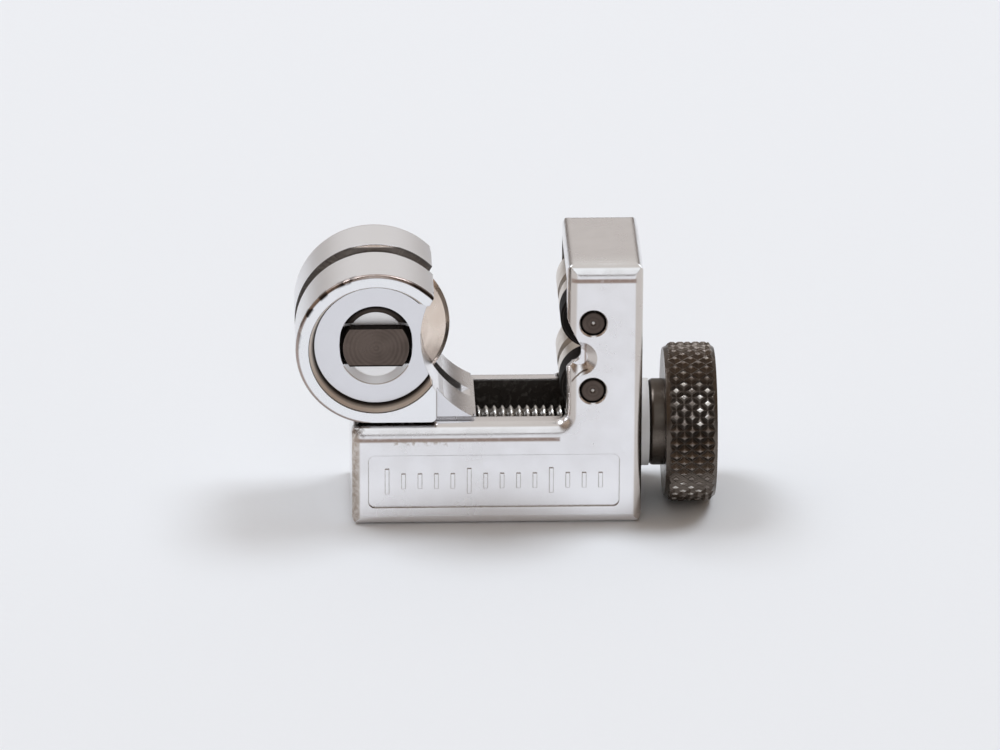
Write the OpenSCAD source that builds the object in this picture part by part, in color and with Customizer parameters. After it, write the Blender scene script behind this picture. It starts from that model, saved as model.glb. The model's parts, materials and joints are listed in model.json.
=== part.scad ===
// Mini tube cutter: an L-shaped cast frame with two rollers, and a slider
// that a feed screw draws towards them, with the cutter wheel in its head.
// X runs along the bar with the knob at +X, the front is at -Y and Z is up.
// The origin is the middle of the frame's bottom face.

/* [Frame] */
// Length of the frame along X
frame_l = 40.2; // [40.2:0.1:60]
// Width of the frame along Y
frame_w = 20; // [19.4:0.1:26]
// Height of the bar that the slider runs along
bar_h = 15; // [14.9:0.1:18]
// Thickness of the arm's metal above the upper roller's space
arm_roof = 3; // [2:0.1:6]
// Radius of the frame's plain edges
edge_r = 1.4; // [0.4:0.1:1.8]
// Radius of the long top edges and of the arm's edges towards the tube
top_r = 1.8; // [0.6:0.1:2.2]
// Radius of the fillet between the bar and the arm
inner_corner_r = 1.3; // [0.8:0.1:1.6]
// Thickness of the bar's two side walls
bar_wall = 3.05; // [2.4:0.05:3.4]
// Thickness of the arm's two side walls
arm_wall = 1.9; // [1.7:0.05:2.4]
// Thickness of the arm's wall behind the rollers
back_wall = 2.23; // [1.63:0.1:4.03]
// Thickness of the wall that closes the bar at the slider's end
end_wall = 2.9; // [2.5:0.1:3.2]
// Thickness of the wall that carries the feed screw
screw_wall = 3.3; // [2.8:0.1:3.6]
// Room between the washer on the screw and the channel's floor
floor_room = 2.4; // [0.4:0.1:4.4]

/* [Label panel] */
// Distance of the sunken panel from the frame's two ends
panel_end = 2.7; // [2:0.1:8]
// Distance of the panel from the frame's bottom
panel_below = 2.65; // [2.05:0.1:3.45]
// Distance of the panel from the bar's top
panel_above = 4.55; // [3.05:0.1:5.05]
// Depth of the sunken panel
panel_depth = 0.3; // [0.1:0.05:0.6]
// Number of graduation ticks in the panel
tick_count = 14; // [2:1:20]
// Width of one graduation tick
tick_w = 0.55; // [0.3:0.05:0.8]
// Height of a short tick
tick_h = 2.2; // [1:0.1:3]
// Extra height of every fifth tick
tick_extra = 1.5; // [0:0.1:2]

/* [Rollers] */
// Radius of the two rollers
roller_r = 4.45; // [4:0.05:5]
// Gap between the two rollers
roller_space = 1.1; // [0.3:0.1:1.3]
// Gap between the lower roller and the bar
roller_lift = 0.45; // [0.4:0.05:0.8]
// How far the rollers stand out of the arm towards the tube
roller_proud = 0.83; // [0.23:0.1:1.33]
// Radius of the roller pins
roller_pin_r = 1.8; // [1.2:0.05:2]
// Depth of the groove round the middle of each roller
roller_groove = 0.9; // [0.2:0.05:1.4]
// Width of that groove at the surface
roller_groove_w = 2.4; // [1:0.1:4]

/* [Slider] */
// Radius of the slider's round head
head_r = 11.1; // [10.8:0.05:11.2]
// Distance from the frame's end to the middle of the head
head_back = 3.4; // [3:0.05:3.5]
// Radius of the round throat that the tube enters
throat_r = 13; // [12.9:0.1:13.4]
// Height of the throat's middle above the head's middle
throat_lift = 1; // [0:0.1:1.1]
// Width of the rim round the pocket in each side of the head
rim_w = 1.75; // [1.2:0.05:2.2]
// Width of the pocket's sloped wall
pocket_draft = 0.85; // [0.2:0.05:1.2]
// Width of the slot that the cutter wheel turns in
wheel_slot_w = 3; // [2.9:0.05:3.6]
// Distance of the cutting plane behind the frame's middle
cut_y = 0.5; // [0:0.1:0.8]
// Distance from the head's rim to the end of the tail
tail_reach = 2.8; // [2:0.1:2.9]
// Distance of the foot's end inside the head's rim
foot_inset = 2.7; // [2.1:0.1:3.5]

/* [Cutter wheel] */
// Distance of the wheel's edge inside the head's rim
wheel_inset = 0.7; // [0.5:0.05:1.2]
// How far the wheel stands out of the head towards the tube
wheel_reach = 4.25; // [4.1:0.05:4.5]
// Thickness of the cutter wheel at its hub
wheel_t = 2.7; // [2:0.05:2.8]
// Width of the wheel's long bevel
wheel_bevel = 3; // [2:0.1:4]
// Thickness of the wheel where the steep edge bevel starts
wheel_edge_t = 0.9; // [0.4:0.05:1.2]
// Radius of the pin that the wheel turns on
wheel_pin_r = 2.4; // [1.8:0.05:2.8]
// Radius of the wheel pin's flattened head
pin_head_r = 4.55; // [4:0.05:4.6]
// Distance across the flats of the wheel pin's head
pin_flats = 5.5; // [4.8:0.05:6]

/* [Feed screw and knob] */
// Distance of the feed screw's axis below the bar's top
screw_drop = 3.8; // [3.4:0.1:3.9]
// Radius of the feed screw over its thread
screw_r = 2.5; // [2:0.05:2.6]
// Pitch of the feed screw
screw_pitch = 1.15; // [0.8:0.05:1.5]
// Depth of the thread
thread_depth = 0.5; // [0.3:0.05:0.6]
// Radius of the knob over its knurl
knob_r = 11.1; // [9.4:0.05:11.1]
// Length of the knob's knurled part
knob_l = 7.1; // [5:0.1:12]
// Chamfer at the knob's two rims
knob_chamfer = 0.6; // [0.2:0.1:1]
// Number of knurl points round the knob
knurl_count = 36; // [24:1:40]
// Rows of knurl points on each side of the knob's middle
knurl_rows = 3; // [2:1:5]
// Depth of the knurl
knurl_depth = 0.5; // [0.3:0.05:0.6]
// Radius of the knob's hub
hub_r = 6.05; // [4.5:0.05:7]
// Length of the knob's hub
hub_l = 2.1; // [1:0.1:4]
// Radius of the thrust washer
washer_r = 6.1; // [4.5:0.05:7]
// Thickness of the thrust washer
washer_t = 1.3; // [0.6:0.1:2]

/* [Hidden] */
$fn = 96;
// Overrun of every cut past the face that it leaves
over = 0.6;
// Radial clearance of a part that turns in or on another
run_gap = 0.05;
// Radial clearance of a pin that is fixed in its hole
fit_gap = 0.02;
// Side clearance of the slider in the frame
slide_gap = 0.1;
// Height of the slider's foot above the bar
foot_gap = 0.45;

// Frame
frame_x0 = -frame_l / 2;
frame_x1 = frame_l / 2;
roller_wall_gap = 0.2;
roller_roof_gap = 1.15;
roller_x = frame_x1 - back_wall - roller_wall_gap - roller_r;
roller_pitch = 2 * roller_r + roller_space;
lower_roller_z = bar_h + roller_lift + roller_r;
upper_roller_z = lower_roller_z + roller_pitch;
roller_mid_z = (lower_roller_z + upper_roller_z) / 2;
arm_x0 = roller_x - roller_r + roller_proud;
channel_half = frame_w / 2 - bar_wall;
cavity_half = frame_w / 2 - arm_wall;
channel_x0 = frame_x0 + end_wall;
channel_x1 = frame_x1 - screw_wall;
cavity_x1 = roller_x + roller_r + roller_wall_gap;
cavity_z1 = upper_roller_z + roller_r + roller_roof_gap;
frame_h = cavity_z1 + arm_roof;
screw_z = bar_h - screw_drop;
clip_washer_r = 4.3;
floor_t = screw_z - clip_washer_r - floor_room;

// Notch in the arm's side walls between the rollers
notch_depth = 2;
notch_lift = 1.5;
notch_z = roller_mid_z + notch_lift;
notch_rise = 3.9;
notch_drop = 3.4;
notch_round_r = 1.25;
scoop_inset = 1.7;
scoop_drop = 0.2;
scoop_x = arm_x0 + scoop_inset;
scoop_z = roller_mid_z - scoop_drop;
scoop_r = 2.5;
scoop_floor_r = 1.2;
scoop_depth = 0.9;

// Label panel
panel_x = -0.4;
panel_l = frame_l - 2 * panel_end;
panel_h = bar_h - panel_below - panel_above;
panel_z = panel_below + panel_h / 2;
panel_r = 0.9;
tick_proud = 0.2;
tick_group = 5;
tick_span = panel_l - 2 * (panel_r + tick_w);
tick_step = tick_span / tick_count;

// Roller pins
pin_dimple_r = 0.35;
pin_dimple_depth = 0.3;
pin_chamfer = 0.3;
pin_sunk = 0.15;
hole_chamfer = 0.2;

// Slider
head_x = frame_x0 + head_back;
wheel_r = head_r - wheel_inset;
wheel_floor_gap = 0.2;
slot_floor_lift = 0.15;
foot_z = bar_h + foot_gap;
slot_floor_z = foot_z + slot_floor_lift;
head_z = slot_floor_z + wheel_floor_gap + wheel_r;
throat_x = wheel_r - wheel_reach + throat_r;
body_half = cavity_half - slide_gap;
pocket_depth = frame_w / 2 - body_half;
carriage_half = channel_half - slide_gap;
carriage_z0 = floor_t + slide_gap;
carriage_x0 = channel_x0 + slide_gap;
tail_x = head_x + head_r + tail_reach;
foot_l = head_r - foot_inset;
pocket_mouth_r = head_r - rim_w;
pocket_r = pocket_mouth_r - pocket_draft;
head_edge_r = 0.5;
rim_end_angle = 46;
rim_end_r = (head_r - pocket_mouth_r) / 2;
rim_end_reach = (head_r + pocket_mouth_r) / 2;
foot_edge_r = 0.9;
foot_top_z = head_z - head_r / 2;
nut_relief = 0.9;
nut_relief_r = screw_r + nut_relief;
nut_relief_l = 1.2;

// Wheel and its pin
wheel_edge_back = 0.55;
wheel_bevel_r = wheel_r - wheel_bevel;
wheel_hub_r = 4.2;
wheel_hub_step = 0.1;
dish_r = 5;
dish_offset = 0.8;
dish_slope = 1.1;
dish_depth = 0.45;
head_pocket_gap = 0.45;
flat_gap = 0.08;
head_sunk = 1;
head_l = 2.6;
pin_head_y0 = -frame_w / 2 + head_sunk;
pin_head_y1 = pin_head_y0 + head_l;
pin_end_l = 1.5;
pin_end_y = body_half + pin_end_l;
clip_t = 0.6;
clip_gap = 0.1;
wheel_clip_r = 4.1;
wheel_groove_depth = 0.55;
wheel_groove_r = wheel_pin_r - wheel_groove_depth;
clip_opening_share = 0.75;

// Feed screw
screw_segments = 16;
thread_crest_share = 0.12;
thread_root_share = 0.16;
screw_tip_r = 1.4;
screw_tip_l = 1.4;
tip_bore_l = 1.9;
screw_end_gap = 0.3;
screw_clip_r = 4;
neck_step = 0.2;
screw_groove_r = screw_r - thread_depth - neck_step;
clip_washer_t = 0.5;
washer_x = frame_x1;
hub_x = washer_x + washer_t;
knob_x = hub_x + hub_l;
knob_x1 = knob_x + knob_l;
hub_round = 0.7;
rivet_flare = 0.9;
rivet_r = screw_r + rivet_flare;
rivet_l = 0.9;
rivet_sunk = 0.35;
knob_face_r = 8.6;
knob_face_depth = 0.5;
washer_clip_gap = 0.1;
clip_washer_x1 = channel_x1 - washer_clip_gap;
clip_washer_x0 = clip_washer_x1 - clip_washer_t;
screw_clip_x1 = clip_washer_x0 - clip_gap;
screw_clip_x0 = screw_clip_x1 - clip_t;
thread_x0 = channel_x0 + screw_end_gap;
thread_x1 = screw_clip_x0 - screw_pitch;

// Corner of a square to be rounded, to be taken off at the origin
module corner_cut(r) {
    difference() {
        translate([-over, -over]) square(r + over);
        translate([r, r]) circle(r);
    }
}

// Rectangle centred on X and standing on the axis, with two corner radii
module soft_rect(w, h, low_r, high_r) {
    difference() {
        translate([-w / 2, 0]) square([w, h]);
        for (side = [0, 1]) mirror([side, 0]) {
            translate([-w / 2, 0]) corner_cut(low_r);
            translate([-w / 2, h]) mirror([0, 1]) corner_cut(high_r);
        }
    }
}

// Solid drawn in the front view and extruded along Y from y0 to y1
module front_slab(y0, y1) {
    translate([0, y1, 0]) rotate([90, 0, 0]) linear_extrude(y1 - y0) children();
}

// Round bar along Y from y0 to y1 at a place in the front view
module cross_rod(x, z, r, y0, y1) {
    translate([x, y0, z]) rotate([-90, 0, 0]) cylinder(r = r, h = y1 - y0);
}

// Cone along Y at a place in the front view
module cross_cone(x, z, r0, r1, y0, y1) {
    translate([x, y0, z]) rotate([-90, 0, 0]) cylinder(r1 = r0, r2 = r1, h = y1 - y0);
}

// Round bar along X from x0 to x1 on the feed screw's axis
module screw_rod(r, x0, x1) {
    translate([x0, 0, screw_z]) rotate([0, 90, 0]) cylinder(r = r, h = x1 - x0);
}

// Cone along X on the feed screw's axis
module screw_cone(r0, r1, x0, x1) {
    translate([x0, 0, screw_z]) rotate([0, 90, 0]) cylinder(r1 = r0, r2 = r1, h = x1 - x0);
}

// Box between two corners
module span_box(low, high) {
    translate(low) cube(high - low);
}

// Cast block with every edge rounded, from x0 to the frame's far end, with a
// radius of its own for the upright edges at x0
module cast_block(x0, h, near_r) {
    l = frame_x1 - x0;
    mid = (frame_x1 + x0) / 2;
    intersection() {
        translate([mid, 0, 0]) front_slab(-frame_w / 2, frame_w / 2)
            soft_rect(l, h, edge_r, edge_r);
        translate([x0, 0, 0]) rotate([90, 0, 90]) linear_extrude(l)
            soft_rect(frame_w, h, edge_r, top_r);
        translate([x0, 0, 0]) rotate(-90) linear_extrude(h)
            soft_rect(frame_w, l, near_r, edge_r);
    }
}

// Fillet between the bar and the arm, with the same rounded edges as theirs
module corner_fillet() {
    reach = 2 * (inner_corner_r + top_r);
    translate([arm_x0 - inner_corner_r, 0, bar_h + inner_corner_r]) rotate([-90, 0, 0])
        rotate_extrude(angle = 90) difference() {
            translate([inner_corner_r, -frame_w / 2])
                square([reach - inner_corner_r, frame_w]);
            for (side = [0, 1]) mirror([0, side])
                translate([inner_corner_r, -frame_w / 2]) corner_cut(top_r);
        }
}

// Outline of the notch in the arm's walls, open towards the tube
module notch_outline() {
    polygon([
        [arm_x0 - over, notch_z + notch_rise + over],
        [arm_x0, notch_z + notch_rise],
        [arm_x0 + notch_depth, notch_z],
        [arm_x0 + notch_depth, notch_z - notch_round_r],
        [arm_x0, notch_z - notch_drop],
        [arm_x0 - over, notch_z - notch_drop]
    ]);
    translate([arm_x0 + notch_depth - notch_round_r, notch_z - notch_round_r])
        circle(notch_round_r);
}

// Bores for one roller pin, with a small chamfer at both faces
module roller_pin_bore(z) {
    y = frame_w / 2;
    bore_r = roller_pin_r + fit_gap;
    cross_rod(roller_x, z, bore_r, -y - over, y + over);
    for (side = [0, 1]) mirror([0, side, 0])
        cross_cone(roller_x, z, bore_r + hole_chamfer, bore_r, -y, -y + hole_chamfer);
}

// Sunken panel on the front with its row of raised ticks
module label_panel() {
    y = -frame_w / 2;
    difference() {
        translate([panel_x, 0, panel_z - panel_h / 2]) front_slab(y - over, y + panel_depth)
            soft_rect(panel_l, panel_h, panel_r, panel_r);
        for (i = [0 : tick_count - 1]) {
            h = tick_h + (i % tick_group == 0 ? tick_extra : 0);
            x = panel_x - tick_span / 2 + tick_step * (i + 1 / 2);
            span_box([x - tick_w / 2, y + panel_depth - tick_proud, panel_z - h / 2],
                     [x + tick_w / 2, y + panel_depth + over, panel_z + h / 2]);
        }
    }
}

module frame() {
    color("silver") difference() {
        union() {
            cast_block(frame_x0, bar_h, edge_r);
            cast_block(arm_x0, frame_h, top_r);
            corner_fillet();
        }
        span_box([channel_x0, -channel_half, floor_t],
                 [channel_x1, channel_half, bar_h + inner_corner_r + over]);
        span_box([arm_x0 - inner_corner_r - over, -cavity_half, bar_h],
                 [cavity_x1, cavity_half, cavity_z1]);
        front_slab(-frame_w / 2 - over, frame_w / 2 + over) notch_outline();
        for (side = [0, 1]) mirror([0, side, 0])
            cross_cone(scoop_x, scoop_z, scoop_r, scoop_floor_r,
                       -frame_w / 2, -frame_w / 2 + scoop_depth);
        roller_pin_bore(upper_roller_z);
        roller_pin_bore(lower_roller_z);
        screw_rod(screw_r + run_gap, channel_x1 - over, frame_x1 + over);
        screw_rod(screw_tip_r + run_gap, channel_x0 - tip_bore_l, channel_x0 + over);
        label_panel();
    }
}

// Round head with its rims, before any cut
module head_disc() {
    w = frame_w / 2;
    translate([head_x, 0, head_z]) rotate([-90, 0, 0]) rotate_extrude()
        difference() {
            translate([0, -w]) square([head_r, 2 * w]);
            for (side = [0, 1]) mirror([0, side])
                translate([head_r, -w]) mirror([1, 0]) corner_cut(head_edge_r);
        }
}

// Foot under both rims, with a rounded lower corner
module foot_block() {
    front_slab(-frame_w / 2, frame_w / 2) difference() {
        translate([head_x, foot_z]) square([foot_l, foot_top_z - foot_z]);
        translate([head_x + foot_l, foot_z]) mirror([1, 0]) corner_cut(foot_edge_r);
    }
}

// Carriage in the channel, and the tail above it
module carriage_block() {
    span_box([carriage_x0, -carriage_half, carriage_z0],
             [tail_x, carriage_half, foot_z + over]);
    span_box([head_x, -body_half, foot_z], [tail_x, body_half, foot_top_z]);
}

// Pocket in the front side of the head, with the rim's free end left round
module head_pocket() {
    y = -frame_w / 2;
    difference() {
        union() {
            cross_cone(head_x, head_z, pocket_mouth_r, pocket_r, y, y + pocket_depth);
            cross_rod(head_x, head_z, pocket_mouth_r, y - over, y);
            translate([head_x, 0, head_z]) front_slab(y - over, y + pocket_depth)
                polygon([
                    [0, 0],
                    2 * head_r * [cos(rim_end_angle), sin(rim_end_angle)],
                    [2 * head_r, 0]
                ]);
        }
        cross_rod(head_x + rim_end_reach * cos(rim_end_angle),
                  head_z + rim_end_reach * sin(rim_end_angle),
                  rim_end_r, y - over, y + pocket_depth + over);
    }
    span_box([head_x + foot_l, y - over, foot_z - over],
             [head_x + 2 * head_r, y + pocket_depth, head_z + head_r + over]);
}

// Upright oblong dish round the wheel pin's head
module pin_dish() {
    y = -body_half;
    for (dz = [-dish_offset, dish_offset])
        cross_cone(head_x, head_z + dz, dish_r, dish_r - dish_slope, y, y + dish_depth);
    span_box([head_x - dish_r + dish_slope, y - over, head_z - dish_offset],
             [head_x + dish_r - dish_slope, y + dish_depth, head_z + dish_offset]);
}

// Disc with two flats along Y, for the pin's head and the seat that holds it
module flatted_disc(r, flats, y0, y1) {
    intersection() {
        cross_rod(head_x, head_z, r, y0, y1);
        span_box([head_x - 2 * r, y0 - over, head_z - flats / 2],
                 [head_x + 2 * r, y1 + over, head_z + flats / 2]);
    }
}

module slider() {
    color("gainsboro") difference() {
        union() {
            head_disc();
            foot_block();
            carriage_block();
        }
        span_box([head_x - 2 * head_r, -frame_w, carriage_z0 - over],
                 [carriage_x0, frame_w, foot_z]);
        for (side = [0, 1]) mirror([0, side, 0]) {
            span_box([head_x - 2 * head_r, -frame_w, carriage_z0 - over],
                     [tail_x + over, -carriage_half, foot_z]);
            head_pocket();
        }
        cross_rod(head_x + throat_x, head_z + throat_lift, throat_r,
                  -frame_w / 2 - over, frame_w / 2 + over);
        span_box([head_x - 2 * head_r, cut_y - wheel_slot_w / 2, slot_floor_z],
                 [tail_x + over, cut_y + wheel_slot_w / 2, head_z + 2 * head_r]);
        pin_dish();
        flatted_disc(pin_head_r + head_pocket_gap, pin_flats + 2 * flat_gap,
                     -body_half - over, pin_head_y1 + fit_gap);
        cross_rod(head_x, head_z, wheel_pin_r + fit_gap,
                  -frame_w / 2 - over, frame_w / 2 + over);
        screw_rod(screw_r + run_gap, carriage_x0 - over, tail_x + over);
        screw_cone(nut_relief_r, screw_r + run_gap, carriage_x0, carriage_x0 + nut_relief_l);
        screw_cone(screw_r + run_gap, nut_relief_r, tail_x - nut_relief_l, tail_x);
    }
}

module cutter_wheel() {
    color("tan") translate([head_x, cut_y, head_z]) rotate([-90, 0, 0]) rotate_extrude()
        polygon([
            [wheel_pin_r + run_gap, -wheel_t / 2],
            [wheel_hub_r, -wheel_t / 2],
            [wheel_hub_r, -wheel_t / 2 + wheel_hub_step],
            [wheel_bevel_r, -wheel_t / 2 + wheel_hub_step],
            [wheel_r - wheel_edge_back, -wheel_edge_t / 2],
            [wheel_r, 0],
            [wheel_r - wheel_edge_back, wheel_edge_t / 2],
            [wheel_bevel_r, wheel_t / 2 - wheel_hub_step],
            [wheel_hub_r, wheel_t / 2 - wheel_hub_step],
            [wheel_hub_r, wheel_t / 2],
            [wheel_pin_r + run_gap, wheel_t / 2]
        ]);
}

// Retaining ring with an open mouth, flat on the plane z = 0
module open_ring(outer_r, inner_r, t) {
    linear_extrude(t) difference() {
        circle(outer_r);
        circle(inner_r);
        translate([0, -inner_r * clip_opening_share])
            square([outer_r + over, 2 * inner_r * clip_opening_share]);
    }
}

module wheel_pin() {
    groove_y = body_half + clip_gap;
    color("dimgray") difference() {
        union() {
            flatted_disc(pin_head_r, pin_flats, pin_head_y0, pin_head_y1);
            cross_rod(head_x, head_z, wheel_pin_r, pin_head_y1 - over, pin_end_y - pin_chamfer);
            cross_cone(head_x, head_z, wheel_pin_r, wheel_pin_r - pin_chamfer,
                       pin_end_y - pin_chamfer, pin_end_y);
        }
        difference() {
            cross_rod(head_x, head_z, wheel_pin_r + over, groove_y, groove_y + clip_t);
            cross_rod(head_x, head_z, wheel_groove_r, groove_y - over, groove_y + clip_t + over);
        }
    }
}

module wheel_pin_clip() {
    color("gray") translate([head_x, body_half + clip_gap, head_z]) rotate([-90, 0, 0])
        open_ring(wheel_clip_r, wheel_groove_r + fit_gap, clip_t - fit_gap);
}

// Roller round a pin along Y, with a groove round its middle
module roller(z) {
    half = body_half;
    groove_half = roller_groove_w / 2;
    color("dimgray") translate([roller_x, 0, z]) rotate([-90, 0, 0]) rotate_extrude()
        polygon([
            [roller_pin_r + run_gap, -half],
            [roller_r - pin_chamfer, -half],
            [roller_r, -half + pin_chamfer],
            [roller_r, cut_y - groove_half],
            [roller_r - roller_groove, cut_y - groove_half / 2],
            [roller_r - roller_groove, cut_y + groove_half / 2],
            [roller_r, cut_y + groove_half],
            [roller_r, half - pin_chamfer],
            [roller_r - pin_chamfer, half],
            [roller_pin_r + run_gap, half]
        ]);
}

module upper_roller() {
    roller(upper_roller_z);
}

module lower_roller() {
    roller(lower_roller_z);
}

// Pin through the arm with a centre dimple in both ends
module roller_pin(z) {
    half = frame_w / 2 - pin_sunk;
    color("gray") translate([roller_x, 0, z]) rotate([-90, 0, 0]) rotate_extrude()
        polygon([
            [0, -half + pin_dimple_depth],
            [pin_dimple_r, -half],
            [roller_pin_r - pin_chamfer, -half],
            [roller_pin_r, -half + pin_chamfer],
            [roller_pin_r, half - pin_chamfer],
            [roller_pin_r - pin_chamfer, half],
            [pin_dimple_r, half],
            [0, half - pin_dimple_depth]
        ]);
}

module upper_roller_pin() {
    roller_pin(upper_roller_z);
}

module lower_roller_pin() {
    roller_pin(lower_roller_z);
}

// Point of the thread at a step along the helix, a share of the pitch and a radius
function thread_point(step, share, r) =
    let (turn = step / screw_segments)
    [thread_x0 + screw_pitch * (turn + share),
     r * cos(360 * turn),
     screw_z + r * sin(360 * turn)];

// Threaded part of the screw: a root flat, a flank, a crest and a flank that
// wind round the axis as one surface, closed at both ends by a fan
module threaded_rod() {
    s = screw_segments;
    steps = floor((thread_x1 - thread_x0) / screw_pitch - 1) * s;
    root_r = screw_r - thread_depth;
    flank_share = (1 - thread_root_share - thread_crest_share) / 2;
    section = [
        [0, root_r],
        [flank_share, screw_r],
        [flank_share + thread_crest_share, screw_r],
        [1 - thread_root_share, root_r]
    ];
    n = len(section);
    low = (steps + 1) * n;
    high = low + 1;
    points = concat(
        [for (i = [0 : steps], p = section) thread_point(i, p[0], p[1])],
        [[thread_x0, 0, screw_z], [thread_x0 + screw_pitch * (steps / s + 1), 0, screw_z]]
    );
    flanks = [
        for (i = [0 : steps - 1], j = [0 : n - 2]) let (a = i * n + j)
            each [[a, a + 1, a + n], [a + 1, a + n + 1, a + n]]
    ];
    roots = [
        for (i = [0 : steps - s - 1]) let (a = i * n + n - 1, b = (i + s) * n)
            each [[a, b, a + n], [b, b + n, a + n]]
    ];
    low_rim = concat([for (i = [0 : s]) i * n], [n - 1, n - 2, n - 3, 0]);
    high_rim = concat([for (i = [steps - s : steps]) i * n + n - 1],
                      [steps * n + n - 2, steps * n + n - 3, steps * n, (steps - s + 1) * n - 1]);
    fans = concat(
        [for (i = [0 : len(low_rim) - 2]) [low, low_rim[i], low_rim[i + 1]]],
        [for (i = [0 : len(high_rim) - 2]) [high, high_rim[i + 1], high_rim[i]]]
    );
    polyhedron(points, concat(flanks, roots, fans));
}

module feed_screw() {
    rivet_x1 = knob_x1 - rivet_sunk;
    color("gray") {
        threaded_rod();
        screw_rod(screw_tip_r, thread_x0 - screw_end_gap - screw_tip_l, thread_x0 + screw_pitch);
        screw_rod(screw_groove_r, thread_x1 - 2 * screw_pitch, screw_clip_x1);
        screw_rod(screw_r, screw_clip_x1, rivet_x1 - rivet_l);
        screw_cone(screw_r, rivet_r, rivet_x1 - rivet_l, rivet_x1);
    }
}

module screw_clip() {
    color("gray") translate([screw_clip_x0, 0, screw_z]) rotate([0, 90, 0])
        open_ring(screw_clip_r, screw_groove_r + fit_gap, clip_t - fit_gap);
}

module clip_washer() {
    color("silver") difference() {
        screw_rod(clip_washer_r, clip_washer_x0, clip_washer_x1);
        screw_rod(screw_r + fit_gap, clip_washer_x0 - over, clip_washer_x1 + over);
    }
}

module thrust_washer() {
    color("whitesmoke") difference() {
        screw_rod(washer_r, washer_x + fit_gap, hub_x - fit_gap);
        screw_rod(screw_r + fit_gap, washer_x - over, hub_x + over);
    }
}

// Radius of the knurl at a step round the knob and a row along it: points and
// pits take turns, and the rows at both ends lie on the chamfers
function knurl_radius(step, row) =
    abs(row) > knurl_rows ? knob_r - knob_chamfer
    : (step + row) % 2 == 0 ? knob_r - knurl_depth
    : abs(row) == knurl_rows ? knob_r - knob_chamfer / 2
    : knob_r;

// Place of a row along the knob, with the end faces as first and last row
function knurl_x(row) =
    row < -knurl_rows ? knob_x
    : row > knurl_rows ? knob_x1
    : (knob_x + knob_x1) / 2 + (knob_l - knob_chamfer) * row / (2 * knurl_rows);

// Two triangles between two rows and two steps, which meet along the groove
function knurl_cell(a, b, c, d, groove_ac) =
    groove_ac ? [[a, b, c], [a, c, d]] : [[a, b, d], [b, c, d]];

// Knurled part of the knob as rings of points from end face to end face
module knurled_rim() {
    steps = 2 * knurl_count;
    last = knurl_rows + 1;
    points = [
        for (row = [-last : last], step = [0 : steps - 1])
            let (r = knurl_radius(step, row), turn = 360 * step / steps)
            [knurl_x(row), r * cos(turn), screw_z + r * sin(turn)]
    ];
    cells = [
        for (row = [-last : last - 1], step = [0 : steps - 1])
            let (a = (row + last) * steps + step, d = (row + last) * steps + (step + 1) % steps)
            each knurl_cell(a, a + steps, d + steps, d, (step + row) % 2 == 0)
    ];
    near_end = [for (step = [0 : steps - 1]) step];
    far_end = [for (step = [1 : steps]) (2 * last + 1) * steps - step];
    polyhedron(points, concat(cells, [near_end, far_end]));
}

// Hub of the knob, rounded at its free end, which runs into the knurled part
module knob_hub() {
    translate([0, 0, screw_z]) rotate([0, 90, 0]) rotate_extrude() difference() {
        translate([0, hub_x]) square([hub_r, hub_l + knob_chamfer]);
        translate([hub_r, hub_x]) mirror([1, 0]) corner_cut(hub_round);
    }
}

module knob() {
    bore = screw_r + fit_gap;
    face_x = knob_x1 - knob_face_depth;
    color("black") difference() {
        union() {
            knurled_rim();
            knob_hub();
        }
        screw_rod(bore, hub_x - over, knob_x1);
        screw_cone(knob_face_r - knob_face_depth, knob_face_r + over, face_x, knob_x1 + over);
        screw_cone(bore, rivet_r + fit_gap, knob_x1 - rivet_sunk - rivet_l, knob_x1 - rivet_sunk);
        screw_rod(rivet_r + fit_gap, knob_x1 - rivet_sunk, knob_x1 + over);
    }
}

frame();
slider();
cutter_wheel();
wheel_pin();
wheel_pin_clip();
upper_roller();
lower_roller();
upper_roller_pin();
lower_roller_pin();
feed_screw();
screw_clip();
clip_washer();
thrust_washer();
knob();
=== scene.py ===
# Mini tube cutter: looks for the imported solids, a knurled knob, and a plain studio
import json
import math
import bpy
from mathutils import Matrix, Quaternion, Vector

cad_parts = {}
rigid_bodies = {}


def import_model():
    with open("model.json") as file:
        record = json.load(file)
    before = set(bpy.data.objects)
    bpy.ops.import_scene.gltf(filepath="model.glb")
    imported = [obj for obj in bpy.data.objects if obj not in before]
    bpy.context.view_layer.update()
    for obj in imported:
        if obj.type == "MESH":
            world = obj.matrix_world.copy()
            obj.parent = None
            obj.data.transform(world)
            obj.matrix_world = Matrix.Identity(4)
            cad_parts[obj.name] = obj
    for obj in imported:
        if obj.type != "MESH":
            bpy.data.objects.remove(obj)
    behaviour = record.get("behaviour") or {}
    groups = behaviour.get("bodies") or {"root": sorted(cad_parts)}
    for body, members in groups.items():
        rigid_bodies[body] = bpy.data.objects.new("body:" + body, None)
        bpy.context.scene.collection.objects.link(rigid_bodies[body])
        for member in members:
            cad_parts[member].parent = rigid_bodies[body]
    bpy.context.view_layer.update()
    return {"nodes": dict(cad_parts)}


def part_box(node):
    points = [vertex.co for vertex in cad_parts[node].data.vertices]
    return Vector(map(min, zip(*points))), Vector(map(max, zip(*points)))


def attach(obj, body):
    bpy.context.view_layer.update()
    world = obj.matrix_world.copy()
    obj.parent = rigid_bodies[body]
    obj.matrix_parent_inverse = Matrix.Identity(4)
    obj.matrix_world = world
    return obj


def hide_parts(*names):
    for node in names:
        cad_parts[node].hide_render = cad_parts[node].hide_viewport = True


for leftOver in list(bpy.data.objects):
    bpy.data.objects.remove(leftOver)
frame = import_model()
print("frame loaded:", len(frame["nodes"]), "solids")

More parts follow.
